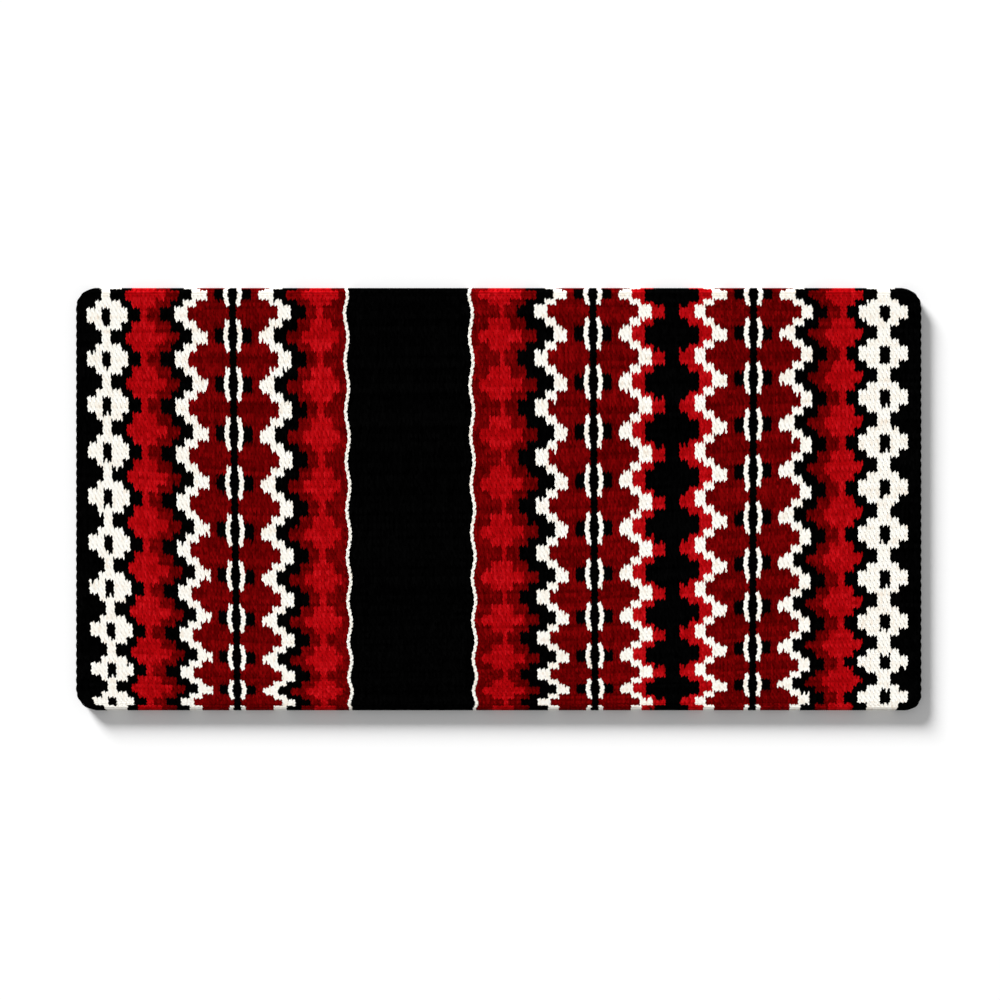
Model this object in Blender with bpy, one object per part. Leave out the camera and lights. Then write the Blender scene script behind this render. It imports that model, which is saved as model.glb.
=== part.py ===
"""Woven wool saddle blanket, folded once along the spine and lying flat.

+X runs from the withers to the rump, +Y towards the fold and +Z up. The origin is in the
middle of the underside. The off side lies below and the near side above it. Each coloured
band of packed weft is a flat sleeve, threaded on the runs of one long warp yarn, and goes
on round the fold as a bent strip. The near side opens about the middle of that bend.
"""

import math

import bmesh
import bpy

MM = 0.001

# Widths of the bands along the blanket, from the withers to the rump
HEADING_WIDTH = 5.0 * MM
FRONT_BORDER_WIDTH = 48.4 * MM
FRONT_DIAMONDS_WIDTH = 54.0 * MM
FRONT_MEDALLIONS_WIDTH = 123.1 * MM
FRONT_STEPS_WIDTH = 58.0 * MM
WAVE_LINE_WIDTH = 8.7 * MM
SEAT_BAND_WIDTH = 126.4 * MM
REAR_STEPS_WIDTH = 62.4 * MM
MIDDLE_MEDALLIONS_WIDTH = 124.2 * MM
BLACK_DIAMONDS_WIDTH = 52.6 * MM
REAR_MEDALLIONS_WIDTH = 119.9 * MM
REAR_DIAMONDS_WIDTH = 58.6 * MM
REAR_BORDER_WIDTH = 59.4 * MM

# The folded blanket
FOLDED_WIDTH = 457.2 * MM
LAYER_THICKNESS = 6.5 * MM
FOLD_CORNER_RADIUS = 22.0 * MM
FRONT_OPEN_CORNER_RADIUS = 23.0 * MM
REAR_OPEN_CORNER_RADIUS = 17.0 * MM

# Yarns and cords inside the cloth
WARP_DIAMETER = 2.2 * MM
WARP_PITCH = 4.66 * MM
SELVEDGE_CORD_DIAMETER = 3.0 * MM
SELVEDGE_WALL = 1.2 * MM
END_COVER = 2.2 * MM
SCALLOP_DEPTH = 1.0 * MM

# Clearance between neighbouring pieces, and the overrun of cutters past what they cut
PIECE_GAP = 0.3 * MM
OVERRUN = 1.0 * MM

# Facets on arcs
SELVEDGE_STEPS = 8
BORE_STEPS = 16
CORNER_STEPS = 6
FOLD_STEPS = 12
SMALL_ARC_STEPS = 3
SCALLOP_STEPS = 4

BLACK = "#0A0A0B"
CREAM = "#F4EDE0"
BRIGHT_RED = "#B80A14"
MID_RED = "#960810"
DARK_RED = "#6E0306"
COTTON = "#B8AE9C"

BANDS = (
    ("front_border", FRONT_BORDER_WIDTH, BLACK),
    ("front_diamonds", FRONT_DIAMONDS_WIDTH, BRIGHT_RED),
    ("front_medallions", FRONT_MEDALLIONS_WIDTH, DARK_RED),
    ("front_steps", FRONT_STEPS_WIDTH, MID_RED),
    ("front_wave_line", WAVE_LINE_WIDTH, CREAM),
    ("seat_band", SEAT_BAND_WIDTH, BLACK),
    ("rear_wave_line", WAVE_LINE_WIDTH, CREAM),
    ("rear_steps", REAR_STEPS_WIDTH, MID_RED),
    ("middle_medallions", MIDDLE_MEDALLIONS_WIDTH, DARK_RED),
    ("black_diamonds", BLACK_DIAMONDS_WIDTH, BLACK),
    ("rear_medallions", REAR_MEDALLIONS_WIDTH, DARK_RED),
    ("rear_diamonds", REAR_DIAMONDS_WIDTH, BRIGHT_RED),
    ("rear_border", REAR_BORDER_WIDTH, BLACK),
)

# Places that follow from the sizes above
LENGTH = 2 * HEADING_WIDTH + sum(width for _, width, _ in BANDS)
FRONT_X = -LENGTH / 2
REAR_X = LENGTH / 2
OPEN_Y = -FOLDED_WIDTH / 2
FOLD_Y = FOLDED_WIDTH / 2
HEIGHT = 2 * LAYER_THICKNESS + PIECE_GAP
FOLD_OUTER_RADIUS = HEIGHT / 2
FOLD_INNER_RADIUS = PIECE_GAP / 2
FOLD_MIDDLE_RADIUS = (LAYER_THICKNESS + PIECE_GAP) / 2
FOLD_CENTRE_Y = FOLD_Y - FOLD_OUTER_RADIUS
FOLD_CENTRE_Z = HEIGHT / 2
LAYER_EDGE_Y = FOLD_CENTRE_Y - PIECE_GAP
LAYER_MIDDLES = {
    "off": LAYER_THICKNESS / 2,
    "near": HEIGHT - LAYER_THICKNESS / 2,
}

WARP_RADIUS = WARP_DIAMETER / 2
WARP_SPACE_HEIGHT = WARP_DIAMETER + 2 * PIECE_GAP
SELVEDGE_CORD_RADIUS = SELVEDGE_CORD_DIAMETER / 2
SELVEDGE_BORE_RADIUS = SELVEDGE_CORD_RADIUS + PIECE_GAP
SELVEDGE_CORD_Y = OPEN_Y + LAYER_THICKNESS / 2
WARP_SPACE_Y = SELVEDGE_CORD_Y + SELVEDGE_BORE_RADIUS + SELVEDGE_WALL

# (radius at the open edge, radius at the fold) of the corners at each end
CORNERS = {
    "front": (FRONT_OPEN_CORNER_RADIUS, FOLD_CORNER_RADIUS),
    "rear": (REAR_OPEN_CORNER_RADIUS, FOLD_CORNER_RADIUS),
}
END_X = {"front": FRONT_X, "rear": REAR_X}
INWARD = {"front": 1, "rear": -1}


def clear_scene():
    """Remove whatever the scene holds."""
    for old in list(bpy.context.scene.objects):
        bpy.data.objects.remove(old, do_unlink=True)


def new_collection(name):
    """Add a collection to the scene."""
    collection = bpy.data.collections.new(name)
    bpy.context.scene.collection.children.link(collection)
    return collection


def linear(channel):
    """Turn one sRGB channel from 0 to 1 into linear light."""
    if channel <= 0.04045:
        return channel / 12.92
    return ((channel + 0.055) / 1.055) ** 2.4


def yarn_material(name, colour, roughness=0.92):
    """A dull, non-metallic yarn of one sRGB hex colour."""
    material = bpy.data.materials.new(name)
    material.use_nodes = True
    shader = material.node_tree.nodes["Principled BSDF"]
    channels = [int(colour[i:i + 2], 16) / 255 for i in (1, 3, 5)]
    shader.inputs["Base Color"].default_value = [linear(c) for c in channels] + [1.0]
    shader.inputs["Roughness"].default_value = roughness
    shader.inputs["Metallic"].default_value = 0.0
    material.diffuse_color = shader.inputs["Base Color"].default_value
    return material


def finish(piece, colour, parent):
    """Give a piece its own material and hang it on its side's empty."""
    piece.data.materials.clear()
    piece.data.materials.append(yarn_material(piece.name + "_yarn", colour))
    if parent is not None:
        piece.parent = parent
        piece.location = piece.location - parent.location
    return piece


def prism(name, outline, depth, collection):
    """A closed prism: a flat outline in local XY, centred on it along local Z."""
    curve = bpy.data.curves.new(name, "CURVE")
    curve.dimensions = "2D"
    curve.fill_mode = "BOTH"
    curve.extrude = depth / 2
    spline = curve.splines.new("POLY")
    spline.points.add(len(outline) - 1)
    for point, (u, v) in zip(spline.points, outline):
        point.co = (u, v, 0, 1)
    spline.use_cyclic_u = True
    guide = bpy.data.objects.new(name + "_curve", curve)
    collection.objects.link(guide)
    graph = bpy.context.evaluated_depsgraph_get()
    mesh = bpy.data.meshes.new_from_object(guide.evaluated_get(graph))
    mesh.name = name
    bpy.data.objects.remove(guide, do_unlink=True)
    shape = bmesh.new()
    shape.from_mesh(mesh)
    bmesh.ops.remove_doubles(shape, verts=shape.verts, dist=PIECE_GAP / 100)
    bmesh.ops.recalc_face_normals(shape, faces=shape.faces)
    shape.to_mesh(mesh)
    shape.free()
    piece = bpy.data.objects.new(name, mesh)
    collection.objects.link(piece)
    return piece


def stand_across(piece, x):
    """Turn a prism so that its outline lies in YZ and its depth along X, centred on x."""
    piece.rotation_euler = (math.pi / 2, 0, math.pi / 2)
    piece.location = (x, 0, 0)
    return piece


def tube(name, route, diameter, resolution, collection):
    """A yarn or cord: a round tube along a list of points."""
    curve = bpy.data.curves.new(name, "CURVE")
    curve.dimensions = "3D"
    curve.bevel_depth = diameter / 2
    curve.bevel_resolution = resolution
    curve.use_fill_caps = True
    spline = curve.splines.new("POLY")
    spline.points.add(len(route) - 1)
    for point, place in zip(spline.points, route):
        point.co = (*place, 1)
    piece = bpy.data.objects.new(name, curve)
    collection.objects.link(piece)
    return piece


def cut(piece, cutter, operation="DIFFERENCE"):
    """Add a Boolean with one cutter."""
    boolean = piece.modifiers.new(operation.lower() + "_" + cutter.name, "BOOLEAN")
    boolean.operation = operation
    boolean.solver = "EXACT"
    boolean.object = cutter


def hide_cutter(cutter):
    """Show a cutter as a wire and keep it out of renders."""
    cutter.hide_render = True
    cutter.display_type = "WIRE"
    return cutter


def end_inset(end, y, cover):
    """Distance along X from an end's straight edge to the outline, moved in by cover."""
    open_radius, fold_radius = CORNERS[end]
    for radius, distance in ((open_radius, y - OPEN_Y), (fold_radius, FOLD_Y - y)):
        if distance < radius:
            inner = radius - cover
            rise = radius - distance
            return radius - math.sqrt(max(inner ** 2 - rise ** 2, 0))
    return cover


def corner_rows(end):
    """Y of the points along one end's rounded outline, from the open edge to the fold."""
    open_radius, fold_radius = CORNERS[end]
    angles = [math.pi / 2 * step / CORNER_STEPS for step in range(CORNER_STEPS + 1)]
    rows = [OPEN_Y + open_radius * (1 - math.cos(angle)) for angle in angles]
    rows += [FOLD_Y - fold_radius * (1 - math.cos(angle)) for angle in reversed(angles)]
    return rows


def plan_outline(low_y, high_y, cover):
    """The blanket's outline in plan between two rows, moved in by cover at both ends."""
    sides = []
    for end in ("front", "rear"):
        rows = [y for y in corner_rows(end) if low_y < y < high_y]
        rows = [low_y] + rows + [high_y]
        sides.append([(END_X[end] + INWARD[end] * end_inset(end, y, cover), y) for y in rows])
    front, rear = sides
    return front + rear[::-1]


def arc(centre_y, centre_z, radius, start, end, steps):
    """Points in YZ along an arc between two angles."""
    angles = [start + (end - start) * step / steps for step in range(steps + 1)]
    return [(centre_y + radius * math.cos(angle), centre_z + radius * math.sin(angle))
            for angle in angles]


def layer_section(middle_z):
    """Section of one layer across the blanket: flat, with a round selvedge."""
    radius = LAYER_THICKNESS / 2
    edge = [(LAYER_EDGE_Y, middle_z - radius), (LAYER_EDGE_Y, middle_z + radius)]
    selvedge = arc(OPEN_Y + radius, middle_z, radius, math.pi / 2, math.pi * 3 / 2, SELVEDGE_STEPS)
    return selvedge + edge


def bent_section(outer_radius, inner_radius, reach, inner_steps):
    """Section of a piece of a ring about the fold's centre, over an angle each way."""
    centre = (FOLD_CENTRE_Y, FOLD_CENTRE_Z)
    outer = arc(*centre, outer_radius, -reach, reach, FOLD_STEPS)
    inner = arc(*centre, inner_radius, reach, -reach, inner_steps)
    return outer + inner


def place_in_fold(distance):
    """Y and Z on the fold's middle line, at a distance along it from its middle."""
    angle = distance / FOLD_MIDDLE_RADIUS
    y = FOLD_CENTRE_Y + FOLD_MIDDLE_RADIUS * math.cos(angle)
    return y, FOLD_CENTRE_Z + FOLD_MIDDLE_RADIUS * math.sin(angle)


def warp_rows():
    """Y of each straight run of warp in a layer, from the selvedge to the fold."""
    first = WARP_SPACE_Y + PIECE_GAP + WARP_RADIUS
    last = LAYER_EDGE_Y - WARP_RADIUS
    gaps = int((last - first) / WARP_PITCH)
    start = (first + last - gaps * WARP_PITCH) / 2
    return [start + i * WARP_PITCH for i in range(gaps + 1)]


def run_end(end, y):
    """X where a straight run of warp stops and its turn begins."""
    inset = end_inset(end, y, END_COVER + PIECE_GAP + WARP_RADIUS) + WARP_PITCH / 2
    return END_X[end] + INWARD[end] * inset


def wound_warp(rows, place, ends):
    """Route of one yarn that runs to and fro between the ends and turns round at each.

    place turns a distance across the cloth into Y and Z, and ends gives the X where the
    run on a row stops at an end.
    """
    route = []
    for i, row in enumerate(rows):
        near_end, far_end = ("front", "rear") if i % 2 == 0 else ("rear", "front")
        route.append((ends(near_end, row), *place(row)))
        route.append((ends(far_end, row), *place(row)))
        if i + 1 == len(rows):
            break
        start_x = ends(far_end, row)
        travel = ends(far_end, rows[i + 1]) - start_x
        for step in range(1, SMALL_ARC_STEPS):
            angle = math.pi * step / SMALL_ARC_STEPS
            share = (1 - math.cos(angle)) / 2
            bulge = INWARD[far_end] * WARP_PITCH / 2 * math.sin(angle)
            across = row + (rows[i + 1] - row) * share
            route.append((start_x + travel * share - bulge, *place(across)))
    return route


def heading_outline(end):
    """Plan of the heading that covers the warp's turns, with a scallop for each turn."""
    inner_inset = HEADING_WIDTH - PIECE_GAP
    reach = inner_inset - 2 * SCALLOP_DEPTH
    open_gap, fold_gap = [radius - math.sqrt(radius ** 2 - (radius - reach) ** 2)
                          for radius in CORNERS[end]]
    low = OPEN_Y + open_gap
    high = min(FOLD_Y - fold_gap, LAYER_EDGE_Y)
    pitch = 2 * WARP_PITCH
    valley = warp_rows()[0] - WARP_PITCH / 2
    if end == "front":
        valley -= WARP_PITCH
    steps = math.ceil((high - valley) / pitch * SCALLOP_STEPS)
    rows = [valley + pitch * step / SCALLOP_STEPS for step in range(-SCALLOP_STEPS, steps)]
    outline = []
    for y in [low] + [y for y in rows if low < y < high] + [high]:
        rise = abs(math.sin(math.pi * (y - valley) / pitch))
        inset = end_inset(end, y, 0) + SCALLOP_DEPTH * (1 - rise)
        outline.append((END_X[end] + INWARD[end] * inset, y))
    inner_x = END_X[end] + INWARD[end] * inner_inset
    return outline + [(inner_x, high), (inner_x, low)]


def band_places():
    """Name, centre X, clear width and colour of each band."""
    places = []
    start = FRONT_X + HEADING_WIDTH
    for name, width, colour in BANDS:
        places.append((name, start + width / 2, width - PIECE_GAP, colour))
        start += width
    return places


def make_cutters(collection):
    """The blanket's outline, the warp's spaces and the bores of the selvedge cords."""
    cutters = {}
    whole = plan_outline(OPEN_Y, FOLD_Y, 0)
    outline = prism("outline_in_plan", whole, HEIGHT + 2 * OVERRUN, collection)
    outline.location.z = HEIGHT / 2
    cutters["outline"] = hide_cutter(outline)
    space = plan_outline(WARP_SPACE_Y, FOLD_CENTRE_Y + OVERRUN, END_COVER)
    cord_front, cord_rear = selvedge_cord_ends()
    for side, middle_z in LAYER_MIDDLES.items():
        slot = prism(side + "_warp_space", space, WARP_SPACE_HEIGHT, collection)
        slot.location.z = middle_z
        cutters[side, "warp"] = hide_cutter(slot)
        section = arc(SELVEDGE_CORD_Y, middle_z, SELVEDGE_BORE_RADIUS, 0, math.tau, BORE_STEPS)
        length = cord_rear - cord_front + 2 * PIECE_GAP
        bore = prism(side + "_selvedge_bore", section[:-1], length, collection)
        stand_across(bore, (cord_front + cord_rear) / 2)
        cutters[side, "selvedge"] = hide_cutter(bore)
    half_space = WARP_SPACE_HEIGHT / 2
    reach = math.pi / 2 - WARP_RADIUS / FOLD_MIDDLE_RADIUS
    section = bent_section(FOLD_MIDDLE_RADIUS + half_space, FOLD_MIDDLE_RADIUS - half_space,
                           reach, FOLD_STEPS)
    slot = prism("fold_warp_space", section, LENGTH - 2 * FOLD_CORNER_RADIUS, collection)
    cutters["fold", "warp"] = hide_cutter(stand_across(slot, 0))
    return cutters


def selvedge_cord_ends():
    """X of the two ends of a selvedge cord, where the rounded corners begin."""
    return FRONT_X + FRONT_OPEN_CORNER_RADIUS, REAR_X - REAR_OPEN_CORNER_RADIUS


def make_layer(side, parent, cutters, collection):
    """One side of the blanket: its bands, headings, warp yarn and selvedge cord."""
    middle_z = LAYER_MIDDLES[side]
    places = band_places()
    for index, (name, centre, width, colour) in enumerate(places):
        band = prism(side + "_" + name, layer_section(middle_z), width, collection)
        stand_across(band, centre)
        if index in (0, len(places) - 1):
            cut(band, cutters["outline"], "INTERSECT")
        cut(band, cutters[side, "warp"])
        cut(band, cutters[side, "selvedge"])
        finish(band, colour, parent)
    for end in ("front", "rear"):
        name = side + "_" + end + "_heading"
        heading = prism(name, heading_outline(end), LAYER_THICKNESS, collection)
        heading.location.z = middle_z
        cut(heading, cutters[side, "warp"])
        finish(heading, BLACK, parent)
    route = wound_warp(warp_rows(), lambda y: (y, middle_z), run_end)
    finish(tube(side + "_warp_yarn", route, WARP_DIAMETER, 0, collection), COTTON, parent)
    route = [(x, SELVEDGE_CORD_Y, middle_z) for x in selvedge_cord_ends()]
    cord = tube(side + "_selvedge_cord", route, SELVEDGE_CORD_DIAMETER, 2, collection)
    finish(cord, BLACK, parent)


def make_fold(cutters, collection):
    """The strips that carry each band round the fold, and the warp inside them."""
    places = band_places()
    section = bent_section(FOLD_OUTER_RADIUS, FOLD_INNER_RADIUS, math.pi / 2, SMALL_ARC_STEPS)
    for index, (name, centre, width, colour) in enumerate(places):
        strip = prism("fold_" + name, section, width, collection)
        stand_across(strip, centre)
        if index in (0, len(places) - 1):
            cut(strip, cutters["outline"], "INTERSECT")
        cut(strip, cutters["fold", "warp"])
        finish(strip, colour, None)
    run_x = LENGTH / 2 - FOLD_CORNER_RADIUS - PIECE_GAP - WARP_RADIUS - WARP_PITCH / 2
    rows = (-WARP_PITCH / 2, WARP_PITCH / 2)
    route = wound_warp(rows, place_in_fold, lambda end, row: -INWARD[end] * run_x)
    finish(tube("fold_warp_yarn", route, WARP_DIAMETER, 0, collection), COTTON, None)


def main():
    """Build the folded blanket."""
    clear_scene()
    parts = new_collection("saddle_blanket")
    guides = new_collection("cutters")
    hinge = bpy.data.objects.new("spine_fold_axis", None)
    hinge.location = (0, FOLD_CENTRE_Y, FOLD_CENTRE_Z)
    parts.objects.link(hinge)
    cutters = make_cutters(guides)
    make_layer("off", None, cutters, parts)
    make_layer("near", hinge, cutters, parts)
    make_fold(cutters, parts)


main()
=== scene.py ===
"""Looks of a weft-faced wool saddle blanket, folded once along its spine.

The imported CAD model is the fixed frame. Each band is woven float by float: a lattice of pointed
floats takes its yarns from the weaver's draft, and a Geometry Nodes tree lays it round the section
of its layer. Lengths are in metres. A pick is one pass of weft, and a rib is the weft over one warp.
"""
import math

import bpy
import numpy as np
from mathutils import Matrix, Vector
from bpy.props import FloatProperty, FloatVectorProperty, IntProperty, PointerProperty


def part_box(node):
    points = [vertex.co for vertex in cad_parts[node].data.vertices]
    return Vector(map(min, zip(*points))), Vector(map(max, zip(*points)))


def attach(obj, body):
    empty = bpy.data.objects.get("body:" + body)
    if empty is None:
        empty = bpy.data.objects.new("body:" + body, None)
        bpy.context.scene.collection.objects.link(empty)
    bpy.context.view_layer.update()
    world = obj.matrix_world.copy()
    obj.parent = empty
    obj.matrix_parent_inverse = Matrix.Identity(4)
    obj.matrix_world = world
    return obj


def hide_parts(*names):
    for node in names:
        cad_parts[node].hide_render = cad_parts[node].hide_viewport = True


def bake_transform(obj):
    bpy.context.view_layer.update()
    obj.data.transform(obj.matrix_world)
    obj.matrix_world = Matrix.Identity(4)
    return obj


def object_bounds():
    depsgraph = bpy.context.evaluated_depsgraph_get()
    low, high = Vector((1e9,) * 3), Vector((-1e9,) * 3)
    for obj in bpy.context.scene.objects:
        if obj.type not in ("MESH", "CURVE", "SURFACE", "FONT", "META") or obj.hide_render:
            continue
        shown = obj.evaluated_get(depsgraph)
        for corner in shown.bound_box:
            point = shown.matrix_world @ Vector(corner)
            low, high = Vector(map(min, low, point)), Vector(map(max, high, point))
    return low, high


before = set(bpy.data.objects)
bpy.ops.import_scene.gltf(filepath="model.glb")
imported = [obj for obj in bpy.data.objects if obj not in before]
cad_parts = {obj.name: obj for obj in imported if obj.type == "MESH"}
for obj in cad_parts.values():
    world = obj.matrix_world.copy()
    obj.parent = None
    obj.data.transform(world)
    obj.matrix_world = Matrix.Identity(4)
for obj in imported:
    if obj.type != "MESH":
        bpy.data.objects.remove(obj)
CAD_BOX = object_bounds()

bl_info = {
    "name": "Saddle Blanket",
    "version": (1, 0, 0),
    "blender": (4, 5, 0),
    "location": "View3D > Sidebar > Blanket",
    "description": "Weaves the visible cloth of a folded wool saddle blanket",
    "category": "Object",
}

MM = 0.001
LAYERS = {"off": "off_side", "near": "near_side"}
BANDS = ("front_border", "front_diamonds", "front_medallions", "front_steps", "front_wave_line",
         "seat_band", "rear_wave_line", "rear_steps", "middle_medallions", "black_diamonds",
         "rear_medallions", "rear_diamonds", "rear_border")
WAVE_LINES = ("front_wave_line", "rear_wave_line")

# Sizes of the folded blanket, from the frame. Its corners and scallops are those of the CAD.
FRONT_X, REAR_X = CAD_BOX[0].x, CAD_BOX[1].x
OPEN_Y, SPINE_Y = CAD_BOX[0].y, CAD_BOX[1].y
HEIGHT = CAD_BOX[1].z
FOLD_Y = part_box("fold_seat_band")[0].y
LAYER_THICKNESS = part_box("off_seat_band")[1].z
SELVEDGE_RADIUS = LAYER_THICKNESS / 2
SELVEDGE_Y = OPEN_Y + SELVEDGE_RADIUS
FOLD_RADIUS = SPINE_Y - FOLD_Y
FOLD_CORNER = 22 * MM                   # radius
OPEN_CORNERS = (23 * MM, 17 * MM)       # radii at the withers end and the rump end
SCALLOP_PITCH = 9.32 * MM
SCALLOP_DEPTH = 1.0 * MM

# The draft, in picks from the withers end and in ribs
PICKS = 392
PICK = (REAR_X - FRONT_X) / PICKS
HEADING_PICKS = 2
REPEAT = 12                             # ribs from one row of figures to the next
ALL = 7                                 # a reach that takes every rib
ON_ROW, BETWEEN = 0.0, 0.5              # where a figure is centred, in repeats
WAVE_PICKS = (126.25, 184.25)           # middle of each wave line
BAR_PICKS = (73.25, 240.25, 314.25)     # middle of each black bar
BLACK, CREAM, BRIGHT, MID, DARK = range(5)
MID_SHARE = 0.3                         # of the bright floats that are of the mid lot
SLIP = 0.52                             # how far a figure's edge strays in all, in ribs

# Ribs of a layer, numbered from the spine: the fold takes FOLD_RIBS / 2 of them
SPINE_WARP = 3
FOLD_RIBS = 6
FLAT_RIBS = 118
FIRST_RIB = SPINE_WARP + FOLD_RIBS // 2
LAST_RIB = FIRST_RIB + FLAT_RIBS
LAYER_RIBS = 2 * FLAT_RIBS + 1
SELVEDGE_ROWS = 8                       # rows of faces in the thick rib round the selvedge
# Rows of figures: how far each lies from the one before, in mm, from the fold down to the selvedge.
# They close up towards the selvedge, where the weft draws the cloth in.
ROW_GAPS = (23.58, 46.67, 49.26, 49.61, 49.61, 49.91, 47.67, 46.37, 42.99, 36.22, 5.41)
ROWS = np.array([FIRST_RIB / REPEAT, *range(1, 11), LAST_RIB / REPEAT])
ROW_PLAY = np.array((0, *[1] * 9, 0.4, 0))  # the fold and the selvedge hold their rows in place

# How the packing of the weft has pushed the cloth about
PATTERN_SCALE = 0.9951                  # length of the pattern against that of the CAD's bands
LOOSE_PICKS = 8                         # at an end, beaten in less tightly than the rest
CORNER_PICKS = 12.5                     # at an end, drawn in by a rounded corner
DRIFT = 10.2 * MM                       # of the rows towards the spine
DRIFT_PICKS = (13, 374)                 # where the drift starts, and where it is whole
BOW = 17.8 * MM                         # of the rows towards the selvedge, most half-way along
LEAN = 5.1 / 433                        # of the picks at the withers end, as a slope
RUMP_LEAN = 4 / 433                     # the same at the rump end, the other way
DRAW_IN = 2.1 * MM                      # of the withers end's figures, close to the selvedge
WANDER, WANDER_LAG = 1.74 * MM, 0.05    # swing of a wave line, and how late it is, in repeats
WAVE_REACH, WAVE_CORE = 6, 1.7          # picks that swing with a wave line, and its own
WAVE_SHIFT = 0.35                       # how far its picks lie forward, in picks
WAVE_PINCH = 0.42                       # share by which its own picks close up
BAR_PUSH = (0.3, 1.1, 0.5)              # beside a bar: all along, between rows, on a row, in picks
RIDE = 1.5                              # of the last row up from the selvedge, in ribs

FOLD_WARP_RADIUS = 1.1 * MM
FOLD_WARP_COIL = 3.2 * MM               # radius of its way round the middle of the fold
FOLD_WARP_TURNS, TURN_STEPS = 60, 16

FLOOR_REACH = 8.0                       # from its middle to each side
FLOOR_GAP = 0.2 * MM                    # keeps the floor clear of the underside
PAPER_WHITE = 0.92                      # share of the light that the floor sends back
PAPER_GLOW = 0.08                       # brings the lit floor up to white
CAMERA_SHIFT = (1.36 * MM, -1.08 * MM)  # sets the blanket in the picture

END_COLUMNS = (0, 0.12, 0.3, 0.6, 1, 1.5)   # picks from an end, closer where the edge rounds off
SECTION_STEPS = 24


def colour(text):
    """Linear RGB of an sRGB hex colour."""
    parts = [int(text[i:i + 2], 16) / 255 for i in (1, 3, 5)]
    return [c / 12.92 if c <= 0.04045 else ((c + 0.055) / 1.055) ** 2.4 for c in parts]


class BLANKET_PG_weave(bpy.types.PropertyGroup):
    relief: FloatProperty(name="Relief", default=0.6 * MM, unit="LENGTH",
                          description="Height of a float over the valley between two ribs")
    groove: FloatProperty(name="Groove", default=0.55, subtype="FACTOR",
                          description="Level of the groove between two floats of a rib")
    tip: FloatProperty(name="Tip", default=0.5, subtype="FACTOR",
                       description="Reach of a float's point past its rib, in ribs, on even picks")
    short_tip: FloatProperty(name="Short tip", default=0.04, subtype="FACTOR",
                             description="The same on odd picks, which pack tighter")
    gather: FloatProperty(name="Gather", default=0.15, subtype="FACTOR",
                          description="How far neighbour floats close up on each other, in picks")
    seed: IntProperty(name="Seed", default=4,
                      description="Picks the yarn's variation from float to float")


class BLANKET_PG_wool(bpy.types.PropertyGroup):
    black: FloatVectorProperty(name="Black", description="Dyed black wool", subtype="COLOR",
                               default=colour("#020202"))
    cream: FloatVectorProperty(name="Cream", description="Undyed cream wool", subtype="COLOR",
                               default=colour("#FDFAF1"))
    bright: FloatVectorProperty(name="Bright red", description="Bright red wool", subtype="COLOR",
                                default=colour("#AC070C"))
    mid: FloatVectorProperty(name="Mid red", description="Mid red wool", subtype="COLOR",
                             default=colour("#9C060A"))
    dark: FloatVectorProperty(name="Dark red", description="Dark red wool", subtype="COLOR",
                              default=colour("#630203"))
    cotton: FloatVectorProperty(name="Cotton", description="Undyed cotton of the warp",
                                subtype="COLOR", default=colour("#B8AE9C"))


class BLANKET_PG_stage(bpy.types.PropertyGroup):
    lens: FloatProperty(name="Lens", description="Focal length of the camera", default=90, unit="CAMERA")
    view_width: FloatProperty(name="View width", description="Width of the picture at the top face",
                              default=1080 * MM, unit="LENGTH")
    key: FloatProperty(name="Key", description="Strength of the key light", default=6.1)
    key_angle: FloatProperty(name="Key softness", description="Angle that the key light spans",
                             default=math.radians(20), unit="ROTATION")
    key_height: FloatProperty(name="Key height", description="Angle of the key light above the floor",
                              default=math.radians(21.5), unit="ROTATION")
    key_side: FloatProperty(name="Key side", default=math.radians(37), unit="ROTATION",
                            description="Angle of the key light from the fold towards the withers")
    sky: FloatProperty(name="Sky", description="Strength of the light from all round", default=0.32)


def oval(lobes, body, stem, eye):
    """A cream oval with a black eye, joined to the next by a stem."""
    return (
        (CREAM, BETWEEN, ((*stem, ALL),)),
        (CREAM, ON_ROW, ((*lobes, 2), (*body, 4))),
        (BLACK, ON_ROW, ((*eye, 2.3),)),
    )


def medallion(centre, size):
    """Two cream zigzags round dark red, with black squares and cream brackets between the rows."""
    def steps(*halves):
        return tuple((centre - half * size, centre + half * size, reach) for half, reach in halves)
    return (
        (CREAM, ON_ROW, ((centre - 27, centre + 27, 2), *steps((22.9, 4), (18.7, ALL)))),
        (DARK, ON_ROW, steps((21.3, 2), (17.4, 4), (14.9, 4.6), (12, ALL))),
        (BLACK, BETWEEN, ((centre - 8.2, centre + 8.2, 2),)),
        (CREAM, BETWEEN, ((centre - 3, centre + 3, 4),)),
        (BLACK, BETWEEN, ((centre - 1, centre + 1, ALL),)),
    )


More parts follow.
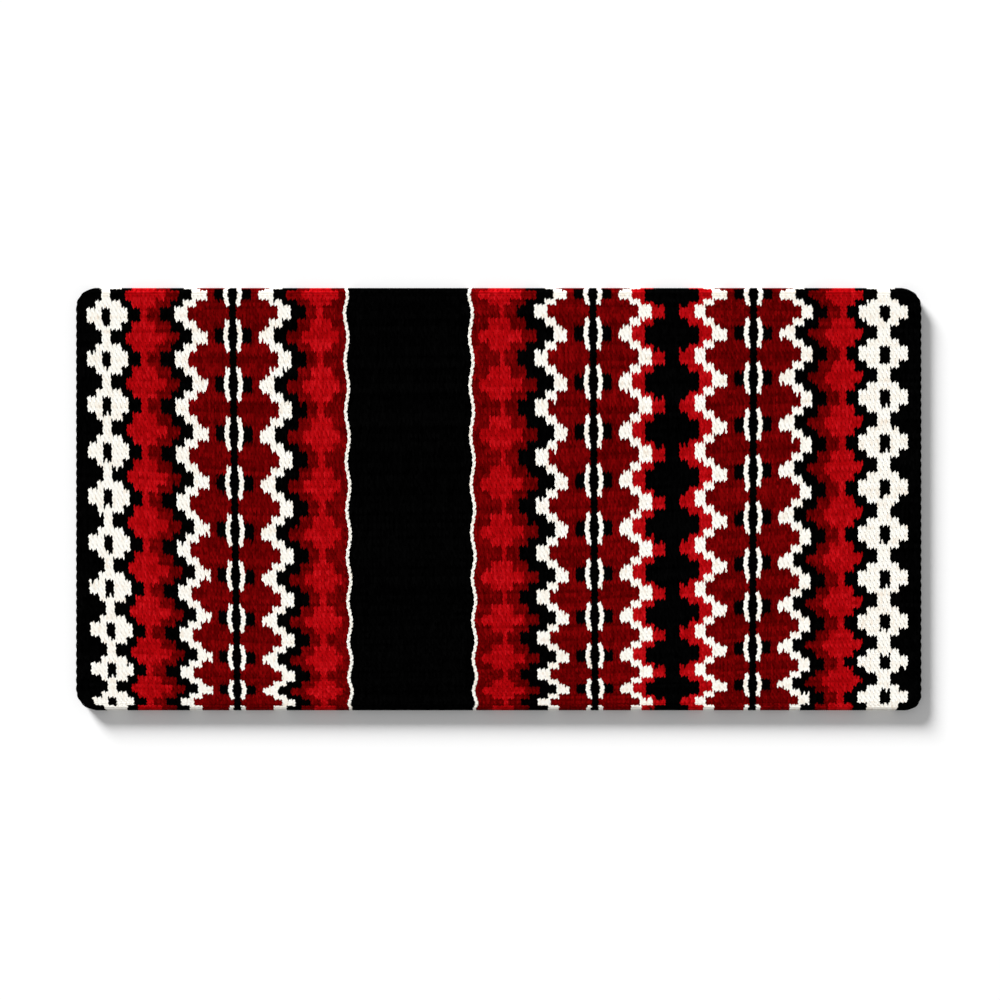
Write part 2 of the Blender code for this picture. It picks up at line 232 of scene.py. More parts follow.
DRAFT = (
    *oval((5.6, 24.7), (9.2, 21.5), (12.3, 16.7), (12, 16.2)),
    (DARK, BETWEEN, ((23.5, 48.4, 1), (23.5, 47.2, 1.5), (26.7, 43.8, 4), (30.5, 39.2, ALL))),
    (BRIGHT, BETWEEN, ((23.5, 42.1, 1), (23.5, 41.2, 1.5), (26.7, 36.8, 4), (30.5, 33.3, ALL))),
    *medallion(73.25, 1),
    (DARK, BETWEEN, ((98, 127, 1.5), (102.9, 127, 4), (107, 127, ALL))),
    (BRIGHT, BETWEEN, ((105.5, 121.9, 1.5), (109, 118.8, 4), (112.3, 115.1, ALL))),
    (CREAM, BETWEEN, ((125, 127, ALL),)),
    (BLACK, BETWEEN, ((127, 183, ALL),)),
    (CREAM, BETWEEN, ((183, 185, ALL),)),
    (DARK, BETWEEN, ((185, 214.4, 1.5), (185, 209.3, 4), (185, 205, ALL))),
    (BRIGHT, BETWEEN, ((188.6, 207, 1.5), (192.5, 202.6, 4), (197, 199.2, ALL))),
    (BRIGHT, ON_ROW, ((240, 315, ALL),)),
    (BLACK, BETWEEN, ((263.8, 289.6, 2.5), (268.6, 284.6, 4.3), (272.9, 280, ALL))),
    *medallion(240.25, 0.97),
    *medallion(314.25, 1.01),
    (DARK, BETWEEN, ((339, 365.7, 1), (341.5, 364.2, 1.5), (344.5, 361.2, 4), (348.2, 357.2, ALL))),
    (BRIGHT, BETWEEN, ((347, 365.7, 1), (347, 364.2, 1.5), (350, 361.2, 4), (354.3, 357.2, ALL))),
    *oval((363.5, 386.2), (367, 382.2), (372.2, 378.3), (372.8, 378.2)),
)


def yarns(pick, warp):
    """Yarn of each float, from the pick that it lies on and the warp that it goes over."""
    pick, warp = np.broadcast_arrays(pick, warp)
    yarn = np.full(pick.shape, BLACK)
    # The weaver now and then turns a yarn back a warp sooner or later
    slip = SLIP * (scatter(np.floor(pick), np.round(warp / REPEAT * 2), 9) - 0.5)
    for kind, centre, steps in DRAFT:
        away = np.abs(((warp - 0.25) / REPEAT - centre + 0.5) % 1 - 0.5) * REPEAT
        for first, last, reach in steps:
            # A step's edge falls so that the floats of odd ribs lie half a pick further on
            first, last = round(first - 0.25) + 0.3, round(last - 0.25) + 0.3
            yarn[(pick >= first) & (pick < last) & (away < reach + slip)] = kind
    return yarn


def scatter(a, b, seed):
    """A number from 0 to 1 for each pair, the same on every run."""
    value = np.sin(a * 12.9898 + b * 78.233 + seed * 37.719) * 43758.5453
    return value - np.floor(value)


def smooth(t):
    """Eases from 0 to 1 as t goes from 0 to 1."""
    t = np.clip(t, 0, 1)
    return t * t * (3 - 2 * t)


def swell(t, start, rise, end, fall):
    """Rises from 0 to 1 over the length rise from start, and falls back over fall from end."""
    return smooth((t - start) / rise) * (1 - smooth((t - end) / fall))


def across(pick, warp):
    """Y of a point of the flat cloth. The rows drift towards the spine at the rump end, and bow
    towards the selvedge half-way along. Both die away towards the fold and the selvedge."""
    row = warp / REPEAT
    y = FOLD_Y - np.interp(row, ROWS, np.cumsum((0, *ROW_GAPS))) * MM
    drift = np.interp(row, ROWS, DRIFT * np.sin(math.pi * (ROWS + 0.7) / 12.8) * ROW_PLAY)
    bow = np.interp(row, ROWS, BOW * np.sin(math.pi * (ROWS - 1.6) / 9.2) * ROW_PLAY)
    share = np.clip((pick - DRIFT_PICKS[0]) / (DRIFT_PICKS[1] - DRIFT_PICKS[0]), 0, 1)
    return y + drift * share - bow * swell(pick, 2, 98, 218, 170)


def inset(y, open_corner):
    """How far a rounded corner draws the end in at y."""
    total = 0
    for radius, depth in ((FOLD_CORNER, y - SPINE_Y + FOLD_CORNER),
                          (open_corner, OPEN_Y + open_corner - y)):
        depth = np.clip(depth, 0, radius)
        total = total + radius - np.sqrt(radius ** 2 - depth ** 2)
    return total


def along(pick, warp, y):
    """X of a point of the cloth. The picks lean a little, and the wave lines are thin and wander."""
    loose = 1 - smooth(np.minimum(pick, PICKS - pick) / LOOSE_PICKS)
    x = (FRONT_X + pick * PICK) * (PATTERN_SCALE + (1 - PATTERN_SCALE) * loose)
    x = x - LEAN * swell(pick, 0, LOOSE_PICKS, 170, 140) * y
    x = x + RUMP_LEAN * swell(pick, 300, 40, 355, 15) * y
    low = smooth(-(y + 40 * MM) / (150 * MM))
    x = x + DRAW_IN * low * swell(pick, 0, LOOSE_PICKS, 50, 30)
    wander = WANDER * np.cos(2 * math.pi * (warp / REPEAT - WANDER_LAG))
    for line, swing in zip(WAVE_PICKS, (-1, 1)):
        off = pick - line
        x = x + (swing * wander - WAVE_SHIFT * PICK) * np.exp(-(off / WAVE_REACH) ** 2)
        x = x - WAVE_PINCH * PICK * off * np.exp(-(off / WAVE_CORE) ** 2)
    # A bar is narrow at the ends of the brackets beside it, and they bow away from it between two rows
    always, between, on_row = BAR_PUSH
    turn = math.pi * warp / REPEAT
    push = PICK * (always + between * np.sin(turn) ** 4 + on_row * np.cos(turn) ** 8)
    for bar in BAR_PICKS:
        off = pick - bar
        x = x + push * np.sign(off) * swell(np.abs(off), 0, 1, 4, 8)
    scallop = SCALLOP_DEPTH * (1 - np.abs(np.cos(math.pi * y / SCALLOP_PITCH)))
    front, rear = (np.clip(1 - end / CORNER_PICKS, 0, 1) for end in (pick, PICKS - pick))
    x = x + inset(y, OPEN_CORNERS[0]) * front - inset(y, OPEN_CORNERS[1]) * rear
    return x + scallop * smooth(1 - pick / 2) - scallop * smooth(1 - (PICKS - pick) / 2)


def bend_length(radius):
    """Length of a half circle drawn with the section's steps."""
    return 2 * SECTION_STEPS * radius * math.sin(math.pi / (2 * SECTION_STEPS))


def lay_layer(course, pick):
    """Warp, x and length along the section of a point of a layer, at its course counted in ribs: one
    face down to the selvedge, round it in one thick rib, and the other face back to the fold."""
    turn = np.clip(course - FLAT_RIBS, 0, 1)
    back = course > FLAT_RIBS + 0.5
    warp = FIRST_RIB + np.where(back, LAYER_RIBS - course, course)
    warp = np.where((turn > 0) & (turn < 1), LAST_RIB, warp)
    flat = FOLD_Y - across(pick, warp)
    y = FOLD_Y - flat - SELVEDGE_RADIUS * np.sin(math.pi * turn)
    bend = bend_length(SELVEDGE_RADIUS)
    whole = 2 * (FOLD_Y - SELVEDGE_Y) + bend
    run = np.where(turn >= 1, whole - flat, flat + turn * bend)
    return warp, along(pick, warp, y), run


def lay_fold(course, pick):
    """The same for a strip of the fold, from the off side round the spine to the near side."""
    warp = SPINE_WARP + np.abs(course - FOLD_RIBS / 2)
    y = FOLD_Y + FOLD_RADIUS * np.sin(math.pi * course / FOLD_RIBS)
    run = course / FOLD_RIBS * bend_length(FOLD_RADIUS)
    return warp, along(pick, warp, y), run + 0 * pick


def columns(first, last):
    """Picks at which a band has its columns: two for each pick, and closer round an end."""
    picks = np.arange(first, last + 0.25, 0.5)
    ends = np.array(END_COLUMNS)
    if first == 0:
        picks = np.concatenate([ends, picks[picks > ends[-1]]])
    if last == PICKS:
        picks = np.concatenate([picks[picks < PICKS - ends[-1]], PICKS - ends[::-1]])
    return picks


def dyed(float_pick, rib, warp):
    """Yarn of each float, and its tone: 0 takes the darkest lot of its dye and 1 the lightest."""
    seed = bpy.context.scene.blanket_weave.seed
    # At the rump end the last row of figures rides up from the selvedge
    ride = RIDE * smooth((float_pick - 300) / 75) * swell(warp, 100, 20, LAST_RIB - 4, 4)
    yarn = yarns(float_pick, warp + ride)
    lot = scatter(float_pick, rib // 2, seed + 1)
    yarn = np.where((yarn == BRIGHT) & (lot < MID_SHARE), MID, yarn)
    # The lot changes from float to float, every five ribs of a pick, and every sixty picks of a rib
    tone = 0.4 * scatter(float_pick, rib, seed)
    tone = tone + 0.25 * scatter(float_pick, np.floor(rib / 5), seed + 2)
    return yarn, tone + 0.35 * scatter(rib, np.floor(float_pick / 60), seed + 3)


def faces_of(height, width, met):
    """Faces of a lattice of height rows and width columns, which is folded in half at its middle
    row, and the walls that close it. met says at which ends both halves share one edge."""
    index = np.arange(height * width).reshape(height, width)
    half = height // 2
    for column, shared in zip((0, -1), met):
        if shared:
            index[half + 1:, column] = index[:half, column][::-1]
    mirror = index[::-1]
    faces = [index[:-1, :-1], index[1:, :-1], index[1:, 1:], index[:-1, 1:]]
    row = np.arange(half)
    front = np.stack([index[row, 0], mirror[row, 0], mirror[row + 1, 0], index[row + 1, 0]], -1)
    rear = np.stack([index[row, -1], index[row + 1, -1], mirror[row + 1, -1], mirror[row, -1]], -1)
    side = np.stack([index[0, :-1], index[0, 1:], index[-1, 1:], index[-1, :-1]], -1)
    walls = [tuple(dict.fromkeys(face)) for face in np.concatenate([front, rear, side]).tolist()]
    return np.stack(faces, -1).reshape(-1, 4), [face for face in walls if len(face) > 2]


def lattice(name, first, last, lay, ribs, rows, odd, fixed, closed_end):
    """A band as a flat mesh in (x, length along the section), and its walls. rows gives the fractions
    of a rib at which it has rows, and fixed the rib edges that stay straight. The floats of every
    second rib lie half a pick on: the odd ribs, or the even ones where odd is 1. With closed_end,
    both faces meet in one edge at an end of the blanket."""
    weave = bpy.context.scene.blanket_weave
    picks = columns(first, last)
    courses = [(k, f) for k in range(ribs) for f in rows(k)] + [(ribs, 0)]
    rib = np.array([k for k, f in courses])[:, None]
    part = np.array([f for k, f in courses])[:, None]

    # A float's point reaches into the ribs on both sides, at every second column
    phase = np.cos(math.pi * (2 * picks - rib - odd))
    near_start, near_end = np.clip(1 - 2 * part, 0, 1), np.clip(2 * part - 1, 0, 1)
    straight = np.isin(rib, fixed), np.isin(rib + 1, fixed)
    even = 0.5 + 0.5 * np.sign(np.sin(math.pi * (picks - 0.25)))
    reach = phase * (weave.short_tip + (weave.tip - weave.short_tip) * even)
    reach = reach * (np.where(straight[0], 0, near_start) - np.where(straight[1], 0, near_end))
    sway = weave.gather * np.where((rib + odd) % 2 == 0, 1, -1) * np.sin(math.pi * part)
    from_end = np.minimum(picks, PICKS - picks)
    x, run = lay(rib + part + reach, picks + sway * np.clip(from_end, 0, 1))[1:]
    # A float stands highest in its middle, along the rib and across it
    level = weave.groove + (1 - weave.groove) * (0.5 - 0.5 * phase)
    level = level * np.sin(math.pi * part) ** 0.6
    rounding = np.clip(1 - from_end * PICK / SELVEDGE_RADIUS, 0, 1)
    edge = 1 - np.sqrt(1 - rounding ** 2)

    # Floats: each face belongs to the float that its column falls on
    face_rib = rib[:-1, 0][:, None]
    face_pick = (picks[:-1] + picks[1:])[None, :] / 2
    parity = (face_rib + odd) % 2
    float_pick = np.where(parity == 0, np.floor(face_pick) + 0.5, np.floor(face_pick + 0.5))
    middle = np.minimum(lay(face_rib + 0.5, face_pick)[0], LAST_RIB - 0.5)
    yarn, tone = dyed(float_pick, face_rib, middle)

    met = (closed_end and first == 0, closed_end and last == PICKS)
    faces, walls = faces_of(rib.size, picks.size, met)
    used, faces_used = np.unique(faces, return_inverse=True)
    place = {old: new for new, old in enumerate(used.tolist())}
    faces = faces_used.reshape(-1, 4).tolist() + [tuple(place[i] for i in face) for face in walls]
    points = np.stack([x, run, 0 * x], -1).reshape(-1, 3)[used]
    mesh = bpy.data.meshes.new(name)
    mesh.from_pydata(points.tolist(), [], faces)
    lie = np.stack([np.broadcast_to(picks * PICK, x.shape), run, 0 * x], -1).reshape(-1, 3)[used]
    keep(mesh, "level", "FLOAT", "POINT", level.ravel()[used])
    keep(mesh, "edge", "FLOAT", "POINT", np.broadcast_to(edge, level.shape).ravel()[used])
    keep(mesh, "lie", "FLOAT_VECTOR", "POINT", lie.ravel())
    keep(mesh, "yarn", "INT", "FACE", np.append(yarn.ravel(), np.full(len(walls), BLACK)))
    keep(mesh, "tone", "FLOAT", "FACE", np.append(tone.ravel(), np.full(len(walls), 0.5)))
    return mesh


def keep(mesh, name, kind, domain, values):
    """Stores one value for each vertex or face."""
    attribute = mesh.attributes.new(name, kind, domain)
    attribute.data.foreach_set("vector" if kind == "FLOAT_VECTOR" else "value", values)


def add(tree, kind, inputs=None, **settings):
    """Adds a node with its settings, and values or links for its inputs."""
    node = tree.nodes.new(kind)
    for name, value in settings.items():
        setattr(node, name, value)
    for name, value in (inputs or {}).items():
        if isinstance(value, bpy.types.NodeSocket):
            tree.links.new(value, node.inputs[name])
        else:
            node.inputs[name].default_value = value
    return node


YARN_INPUTS = ("Black Wool", "Cream Wool", "Bright Red Wool", "Mid Red Wool", "Dark Red Wool")


def section_tree():
    """Lays a flat lattice round a section curve, with its relief, and gives each float its wool."""
    tree = bpy.data.node_groups.new("Lay cloth round a section", "GeometryNodeTree")
    face = tree.interface
    face.new_socket("Geometry", in_out="INPUT", socket_type="NodeSocketGeometry")
    face.new_socket("Section", in_out="INPUT", socket_type="NodeSocketObject")
    face.new_socket("Relief", in_out="INPUT", socket_type="NodeSocketFloat")
    face.new_socket("Half Thickness", in_out="INPUT", socket_type="NodeSocketFloat")
    for name in YARN_INPUTS:
        face.new_socket(name, in_out="INPUT", socket_type="NodeSocketMaterial")
    face.new_socket("Geometry", in_out="OUTPUT", socket_type="NodeSocketGeometry")

    given = add(tree, "NodeGroupInput").outputs
    place = add(tree, "GeometryNodeInputPosition").outputs[0]
    flat = add(tree, "ShaderNodeSeparateXYZ", {0: place}).outputs
    section = add(tree, "GeometryNodeObjectInfo", {"Object": given["Section"]}).outputs["Geometry"]
    on = add(tree, "GeometryNodeSampleCurve", {"Curves": section, "Length": flat["Y"]},
             mode="LENGTH", use_all_curves=True).outputs
    outward = add(tree, "ShaderNodeVectorMath", {0: on["Tangent"], 1: (1, 0, 0)},
                  operation="CROSS_PRODUCT").outputs[0]
    outward = add(tree, "ShaderNodeVectorMath", {0: outward}, operation="NORMALIZE").outputs[0]

    level, edge, yarn = (
        add(tree, "GeometryNodeInputNamedAttribute", {"Name": name}, data_type=kind).outputs[0]
        for name, kind in (("level", "FLOAT"), ("edge", "FLOAT"), ("yarn", "INT")))
    below = add(tree, "ShaderNodeMapRange", {"Value": level, "To Min": given["Relief"], "To Max": 0.0})
    sink = add(tree, "ShaderNodeMix", {0: edge, 2: below.outputs[0], 3: given["Half Thickness"]},
               data_type="FLOAT").outputs[0]
    inward = add(tree, "ShaderNodeVectorMath", {0: outward, "Scale": sink}, operation="SCALE").outputs[0]
    around = add(tree, "ShaderNodeSeparateXYZ", {0: on["Position"]}).outputs
    point = add(tree, "ShaderNodeCombineXYZ",
                {"X": flat["X"], "Y": around["Y"], "Z": around["Z"]}).outputs[0]
    point = add(tree, "ShaderNodeVectorMath", {0: point, 1: inward}, operation="SUBTRACT").outputs[0]
    laid = add(tree, "GeometryNodeSetPosition", {"Geometry": given["Geometry"], "Position": point})
    cloth = add(tree, "GeometryNodeRealizeInstances", {0: laid.outputs[0]}).outputs[0]

    for number, name in enumerate(YARN_INPUTS):
        chosen = add(tree, "FunctionNodeCompare", {2: yarn, 3: number}, data_type="INT",
                     operation="EQUAL").outputs[0]
        cloth = add(tree, "GeometryNodeSetMaterial", {"Geometry": cloth, "Selection": chosen,
                                                      "Material": given[name]}).outputs[0]
    add(tree, "NodeGroupOutput", {0: cloth})
    return tree


def evaluated(holder, tree, values):
    """The mesh that a tree makes on an object, with the tree's inputs set by name."""
    modifier = holder.modifiers.new("Nodes", "NODES")
    modifier.node_group = tree
    for item in tree.interface.items_tree:
        if item.in_out == "INPUT" and item.name in values:
            modifier[item.identifier] = values[item.name]
    bpy.context.view_layer.update()
    graph = bpy.context.evaluated_depsgraph_get()
    mesh = bpy.data.meshes.new_from_object(holder.evaluated_get(graph),
                                           preserve_all_data_layers=True, depsgraph=graph)
    holder.modifiers.remove(modifier)
    return mesh


def curve_object(name, points):
    """An open curve through points, as a helper that isn't shown."""
    curve = bpy.data.curves.new(name, "CURVE")
    curve.dimensions = "3D"
    spline = curve.splines.new("POLY")
    spline.points.add(len(points) - 1)
    for point, place in zip(spline.points, points):
        point.co = (*place, 1)
    made = bpy.data.objects.new(name, curve)
    bpy.context.scene.collection.objects.link(made)
    return made


def wool(name, shade, base, tint, streak, lots):
    """Single-ply wool weft: matt and a little hairy, with lengths of lighter and darker dye."""
    material = bpy.data.materials.new(name)
    material.use_nodes = True
    tree = material.node_tree
    shader = tree.nodes["Principled BSDF"]
    lie = add(tree, "ShaderNodeAttribute", attribute_name="lie").outputs["Vector"]
    tone = add(tree, "ShaderNodeAttribute", attribute_name="tone").outputs["Fac"]

    def grain(wide, long, turn, detail):
        """Noise drawn out along the yarn."""
        laid = add(tree, "ShaderNodeMapping", {"Vector": lie, "Scale": (1 / wide, 1 / long, 1),
                                               "Rotation": (0, 0, turn)}).outputs[0]
        return add(tree, "ShaderNodeTexNoise", {"Vector": laid, "Scale": 1.0,
                                                "Detail": detail}).outputs["Fac"]

    # Streaks one pick wide and two or three ribs long, and hairs that lie askew
    length = grain(2.1 * MM, 11 * MM, 0, 2.0)
    hairs = grain(0.5 * MM, 1.6 * MM, math.radians(20), 3.0)
    level = 0.5
    for source, share in ((length, streak), (tone, lots), (hairs, 0.4)):
        away = add(tree, "ShaderNodeMath", {0: source, 1: 0.5}, operation="SUBTRACT").outputs[0]
        level = add(tree, "ShaderNodeMath", {0: away, 1: share, 2: level},
                    operation="MULTIPLY_ADD").outputs[0]
    ramp = add(tree, "ShaderNodeValToRGB", {"Fac": level})
    stops = ramp.color_ramp.elements
    stops[0].position, stops[0].color = 0.1, (*colour(shade), 1)
    stops[1].position, stops[1].color = 0.9, (*colour(tint), 1)
    stops.new(0.5).color = (*base, 1)
    tree.links.new(ramp.outputs[0], shader.inputs["Base Color"])
    bump = add(tree, "ShaderNodeBump", {"Height": hairs, "Strength": 0.6, "Distance": 0.25 * MM})
    tree.links.new(bump.outputs[0], shader.inputs["Normal"])
    shader.inputs["Roughness"].default_value = 0.95
    shader.inputs["Specular IOR Level"].default_value = 0.0
    return material


def plied(name, base, ply):
    """Hard-spun plied yarn: matt, with fine diagonal ridges where the plies wind, and painted shade in
    their grooves.
    """
    material = bpy.data.materials.new(name)
    material.use_nodes = True
    tree = material.node_tree
    shader = tree.nodes["Principled BSDF"]
    place = add(tree, "ShaderNodeTexCoord").outputs["Object"]
    twist_and_groove_shade = add(tree, "ShaderNodeTexWave", {"Vector": place, "Scale": 1 / ply, "Distortion": 0.6},
                bands_direction="DIAGONAL").outputs["Fac"]
    # Painted shade: the ramp darkens the yarn to six tenths of its colour where the bump sinks between
    # the plies
    ramp = add(tree, "ShaderNodeValToRGB", {"Fac": twist_and_groove_shade})
    stops = ramp.color_ramp.elements
    stops[0].color, stops[1].color = (*[0.6 * c for c in base], 1), (*base, 1)
    tree.links.new(ramp.outputs[0], shader.inputs["Base Color"])
    bump = add(tree, "ShaderNodeBump", {"Height": twist_and_groove_shade, "Strength": 0.7, "Distance": 0.3 * MM})
    tree.links.new(bump.outputs[0], shader.inputs["Normal"])
    shader.inputs["Roughness"].default_value = 0.85
    return material


def dye_yarns():
    """The five wools, in the order of the draft's numbers."""
    dyes = bpy.context.scene.blanket_wool
    return {
        # Dyed black: almost no light comes back, so the ribs hardly show
        "Black Wool": wool("Black_wool_weft", "#000000", dyes.black, "#050505", 0.5, 0.9),
        # Undyed: warm white with faint beige lengths
        "Cream Wool": wool("Cream_wool_weft", "#E6D3BC", dyes.cream, "#FEFDF8", 0.4, 0.5),
        # Bright red: lively, with lengths that took the dye lighter or darker
        "Bright Red Wool": wool("Bright_red_wool_weft", "#8E0408", dyes.bright, "#CE161D", 0.7, 0.8),
        # Mid red: a duller lot of the same dye, in single floats among the bright ones
        "Mid Red Wool": wool("Mid_red_wool_weft", "#820305", dyes.mid, "#BC1017", 0.7, 0.8),
        # Dark red: even and deep
        "Dark Red Wool": wool("Dark_red_wool_weft", "#460000", dyes.dark, "#860608", 0.7, 1.0),
    }


def band_picks(name):
    """First and last pick of a band or heading, from where its CAD node lies."""
    if name == "front_heading":
        return 0, HEADING_PICKS
    if name == "rear_heading":
        return PICKS - HEADING_PICKS, PICKS
    low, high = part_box("near_" + name)
    first, last = (round((x - FRONT_X) / PICK) for x in (low.x, high.x))
    return first, last


def finished(name, mesh, tree, values):
    """The object of one woven piece: the lattice laid round its section, smooth over the floats."""
    holder = bpy.data.objects.new(name, mesh)
    bpy.context.scene.collection.objects.link(holder)
    woven = evaluated(holder, tree, values)
    woven.name = name
    holder.data = woven
    bpy.data.meshes.remove(mesh)
    woven.shade_smooth()
    woven.set_sharp_from_angle(angle=math.radians(62))
    return holder


def half_circle(centre_y, centre_z, radius, start, turn):
    """Points of a half circle in the section, from the angle start, turning by half a turn."""
    angles = [start + turn * math.pi * i / SECTION_STEPS for i in range(SECTION_STEPS + 1)]
    return [(0, centre_y + radius * math.cos(a), centre_z + radius * math.sin(a)) for a in angles]


def layer_section(name, bottom):
    """From the fold along the upper face, round the selvedge, and back along the lower face."""
    top = bottom + LAYER_THICKNESS
    guard = 1 * MM          # keeps the turn's tangents out of the flat part
    turn = half_circle(SELVEDGE_Y, bottom + SELVEDGE_RADIUS, SELVEDGE_RADIUS, math.pi / 2, 1)
    return curve_object(name, [(0, FOLD_Y, top), (0, SELVEDGE_Y + guard, top), *turn,
                               (0, SELVEDGE_Y + guard, bottom), (0, FOLD_Y, bottom)])


def layer_rows(rib):
    return [i / SELVEDGE_ROWS for i in range(SELVEDGE_ROWS)] if rib == FLAT_RIBS else [0, 0.5]


def fold_rows(rib):
    return [0, 0.25, 0.5, 0.75]


# Filled once for all the operators, by prepare
WOOLS = {}
TREES = {}


def prepare():
    """Dyes the yarns and makes the node trees, the first time that an operator needs them."""
    if not WOOLS:
        WOOLS.update(dye_yarns())
        TREES.update(section=section_tree(), yarn=yarn_tree())


def cloth_values(section):
    """Inputs of the section tree for a cloth laid round a section."""
    prepare()
    weave = bpy.context.scene.blanket_weave
    return {"Section": section, "Relief": weave.relief, "Half Thickness": SELVEDGE_RADIUS, **WOOLS}


class BLANKET_OT_layers(bpy.types.Operator):
    """Weaves the bands and headings of the off side and the near side"""
    bl_idname = "blanket.layers"
    bl_label = "Weave both layers"

    def execute(self, context):
        for layer, body in LAYERS.items():
            bottom = 0 if layer == "off" else HEIGHT - LAYER_THICKNESS
            section = layer_section(layer + "_section", bottom)
            values = cloth_values(section)
            woven = {}
            for band in ("front_heading", *BANDS, "rear_heading"):
                name = f"{layer}_{band}"
                first, last = band_picks(band)
                mesh = lattice(name + "_cloth", first, last, lay_layer, LAYER_RIBS, layer_rows,
                               odd=1 if layer == "off" else 0,
                               fixed=(0, FLAT_RIBS, FLAT_RIBS + 1, LAYER_RIBS), closed_end=True)
                piece = finished(name + "_cloth", mesh, TREES["section"], values)
                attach(piece, body)
                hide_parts(name)
                woven[band] = piece
            bpy.data.objects.remove(section)
            declare(woven)
        return {"FINISHED"}


def declare(woven):
    """Goes over the woven pieces, passing by the wave lines and the headings; nothing is done with the
    rest.
    """
    for band, piece in woven.items():
        if band in WAVE_LINES or band.endswith("heading"):
            continue


class BLANKET_OT_fold(bpy.types.Operator):
    """Weaves the strips that run round the fold at the spine"""
    bl_idname = "blanket.fold"
    bl_label = "Weave the fold"

    def execute(self, context):
        turn = half_circle(FOLD_Y, FOLD_RADIUS, FOLD_RADIUS, -math.pi / 2, 1)
        section = curve_object("fold_section", turn)
        values = cloth_values(section)
        woven = {}
        for band in BANDS:
            first, last = band_picks(band)
            first = 0 if band == BANDS[0] else first
            last = PICKS if band == BANDS[-1] else last
            name = "fold_" + band
            mesh = lattice(name + "_cloth", first, last, lay_fold, FOLD_RIBS, fold_rows, odd=0,
                           fixed=(0, FOLD_RIBS), closed_end=False)
            piece = finished(name + "_cloth", mesh, TREES["section"], values)
            blend_over_fold(piece)
            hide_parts(name)
            woven[band] = piece
        bpy.data.objects.remove(section)
        declare(woven)
        return {"FINISHED"}


def blend_over_fold(piece):
    """Bakes the placing of a piece in the fold into its mesh."""
    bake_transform(piece)


class BLANKET_OT_cotton(bpy.types.Operator):
    """Winds the warp's turn in the fold, and finishes the warp and the selvedge cords"""
    bl_idname = "blanket.cotton"
    bl_label = "Finish warp and cords"

    def execute(self, context):
        dyes = context.scene.blanket_wool
        # Undyed cotton, pale and hard; the cords are black wool, so that the selvedge stays dark
        # Both plied finishes carry painted shade in the grooves between their plies
        warp = plied("Plied_cotton_warp", dyes.cotton, 3 * MM)
        cord = plied("Plied_black_wool_cord", dyes.black, 4 * MM)
        for layer in LAYERS:
            for part, finish in (("warp_yarn", warp), ("selvedge_cord", cord)):
                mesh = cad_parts[f"{layer}_{part}"].data
                mesh.materials.clear()
                mesh.materials.append(finish)
        low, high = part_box("fold_warp_yarn")
        first, last = low.x + FOLD_WARP_RADIUS, high.x - FOLD_WARP_RADIUS
        steps = FOLD_WARP_TURNS * TURN_STEPS
        points = []
        for i in range(steps + 1):
            # To and fro round the bend, from one layer to the other
            angle = math.pi / 2 * math.sin(2 * math.pi * i / TURN_STEPS)
            points.append((first + i / steps * (last - first),
                           FOLD_Y + FOLD_WARP_COIL * math.cos(angle),
                           FOLD_RADIUS + FOLD_WARP_COIL * math.sin(angle)))
        helper = curve_object("fold_warp_path", points)
        prepare()
        mesh = evaluated(helper, TREES["yarn"], {"Radius": FOLD_WARP_RADIUS, "Cotton": warp})
        bpy.data.objects.remove(helper)
        piece = bpy.data.objects.new("fold_warp_yarn_plied", mesh)
        context.scene.collection.objects.link(piece)
        mesh.shade_smooth()
        blend_over_fold(piece)
        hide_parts("fold_warp_yarn")
        return {"FINISHED"}


def yarn_tree():
    """Sweeps a round yarn along a curve."""
    tree = bpy.data.node_groups.new("Sweep a yarn", "GeometryNodeTree")
    face = tree.interface
    face.new_socket("Geometry", in_out="INPUT", socket_type="NodeSocketGeometry")
    face.new_socket("Radius", in_out="INPUT", socket_type="NodeSocketFloat")
    face.new_socket("Cotton", in_out="INPUT", socket_type="NodeSocketMaterial")
    face.new_socket("Geometry", in_out="OUTPUT", socket_type="NodeSocketGeometry")
    given = add(tree, "NodeGroupInput").outputs
    ring = add(tree, "GeometryNodeCurvePrimitiveCircle",
               {"Resolution": 8, "Radius": given["Radius"]}).outputs["Curve"]
    yarn = add(tree, "GeometryNodeCurveToMesh",
               {"Curve": given["Geometry"], "Profile Curve": ring, "Fill Caps": True}).outputs[0]
    yarn = add(tree, "GeometryNodeRealizeInstances", {0: yarn}).outputs[0]
    yarn = add(tree, "GeometryNodeSetMaterial", {"Geometry": yarn, "Material": given["Cotton"]})
    add(tree, "NodeGroupOutput", {0: yarn.outputs[0]})
    return tree


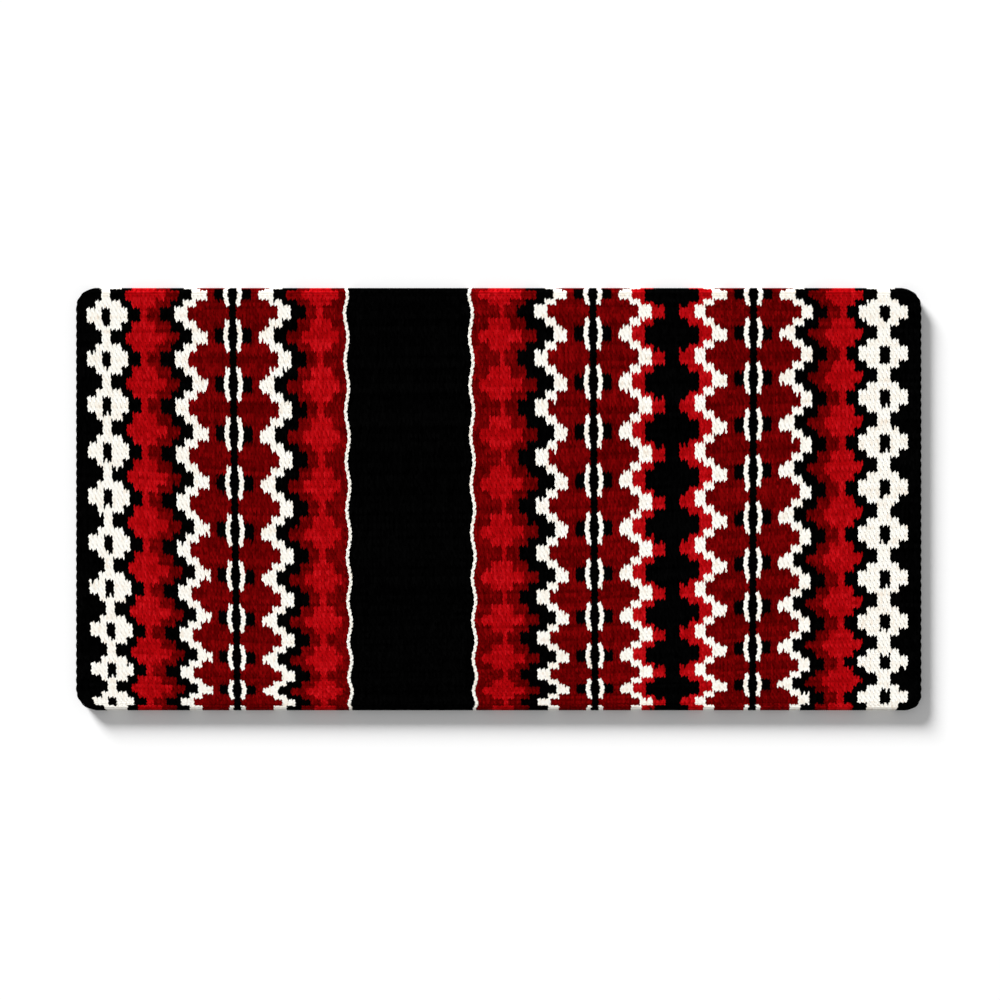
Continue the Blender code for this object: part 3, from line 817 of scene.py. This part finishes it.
class BLANKET_OT_stage(bpy.types.Operator):
    """Sets the floor, the light and the camera"""
    bl_idname = "blanket.stage"
    bl_label = "Set the stage"

    def execute(self, context):
        scene, stage = context.scene, context.scene.blanket_stage
        scene.view_settings.view_transform = "Standard"

        mesh = bpy.data.meshes.new("floor")
        corners = [(x * FLOOR_REACH, y * FLOOR_REACH, -FLOOR_GAP)
                   for x, y in ((-1, -1), (1, -1), (1, 1), (-1, 1))]
        mesh.from_pydata(corners, [], [(0, 1, 2, 3)])
        floor = bpy.data.objects.new("floor", mesh)
        scene.collection.objects.link(floor)
        mesh.materials.append(paper())

        key = bpy.data.lights.new("key", "SUN")
        key.energy, key.angle = stage.key, stage.key_angle
        lamp = bpy.data.objects.new("key", key)
        flat = math.cos(stage.key_height)
        shine = Vector((flat * math.sin(stage.key_side), -flat * math.cos(stage.key_side),
                        -math.sin(stage.key_height)))
        lamp.rotation_euler = shine.to_track_quat("-Z", "Y").to_euler()
        scene.collection.objects.link(lamp)

        world = bpy.data.worlds.new("studio")
        world.use_nodes = True
        tree = world.node_tree
        tree.nodes.clear()
        # What is seen, straight or in a gloss, is white; the light from all round is dimmer
        rays = add(tree, "ShaderNodeLightPath").outputs
        seen = rays["Is Camera Ray"]
        for ray in ("Is Glossy Ray", "Is Transmission Ray"):
            seen = add(tree, "ShaderNodeMath", {0: seen, 1: rays[ray]}, operation="MAXIMUM").outputs[0]
        light, white = (
            add(tree, "ShaderNodeBackground", {"Color": (1, 1, 1, 1), "Strength": strength}).outputs[0]
            for strength in (stage.sky, 1.0))
        both = add(tree, "ShaderNodeMixShader", {0: seen, 1: light, 2: white})
        add(tree, "ShaderNodeOutputWorld", {0: both.outputs[0]})
        scene.world = world

        camera = bpy.data.cameras.new("camera")
        camera.lens, camera.sensor_width = stage.lens, 36
        camera.clip_end = 100
        eye = bpy.data.objects.new("camera", camera)
        distance = stage.view_width * stage.lens / camera.sensor_width
        eye.location = (*CAMERA_SHIFT, HEIGHT + distance)
        scene.collection.objects.link(eye)
        scene.camera = eye
        return {"FINISHED"}


def paper():
    """White paper sweep: plain and matt, lit to white where nothing shades it."""
    material = bpy.data.materials.new("Matt_white_paper")
    material.use_nodes = True
    tree = material.node_tree
    tree.nodes.clear()
    rays = add(tree, "ShaderNodeLightPath").outputs
    matt = add(tree, "ShaderNodeBsdfDiffuse", {"Color": (*[PAPER_WHITE] * 3, 1)})
    lift = add(tree, "ShaderNodeMath", {0: rays["Is Camera Ray"], 1: PAPER_GLOW}, operation="MULTIPLY")
    glow = add(tree, "ShaderNodeEmission", {"Color": (1, 1, 1, 1), "Strength": lift.outputs[0]})
    both = add(tree, "ShaderNodeAddShader", {0: matt.outputs[0], 1: glow.outputs[0]})
    add(tree, "ShaderNodeOutputMaterial", {0: both.outputs[0]})
    return material


class BLANKET_PT_panel(bpy.types.Panel):
    """Lists the steps that dress the blanket"""
    bl_label = "Saddle blanket"
    bl_idname = "BLANKET_PT_panel"
    bl_space_type = "VIEW_3D"
    bl_region_type = "UI"
    bl_category = "Blanket"

    def draw(self, context):
        for name in STEPS:
            self.layout.operator("blanket." + name)
        for group in GROUPS:
            settings = getattr(context.scene, group)
            for key in settings.__annotations__:
                self.layout.prop(settings, key)


GROUPS = {"blanket_weave": BLANKET_PG_weave, "blanket_wool": BLANKET_PG_wool,
          "blanket_stage": BLANKET_PG_stage}
STEPS = ("stage", "layers", "fold", "cotton")
CLASSES = (*GROUPS.values(), BLANKET_OT_layers, BLANKET_OT_fold, BLANKET_OT_cotton,
           BLANKET_OT_stage, BLANKET_PT_panel)


def register():
    for item in CLASSES:
        bpy.utils.register_class(item)
    for name, group in GROUPS.items():
        setattr(bpy.types.Scene, name, PointerProperty(type=group))


def unregister():
    for name in GROUPS:
        delattr(bpy.types.Scene, name)
    for item in reversed(CLASSES):
        bpy.utils.unregister_class(item)


def main():
    register()
    for name in STEPS:
        getattr(bpy.ops.blanket, name)()


if __name__ == "__main__":
    main()
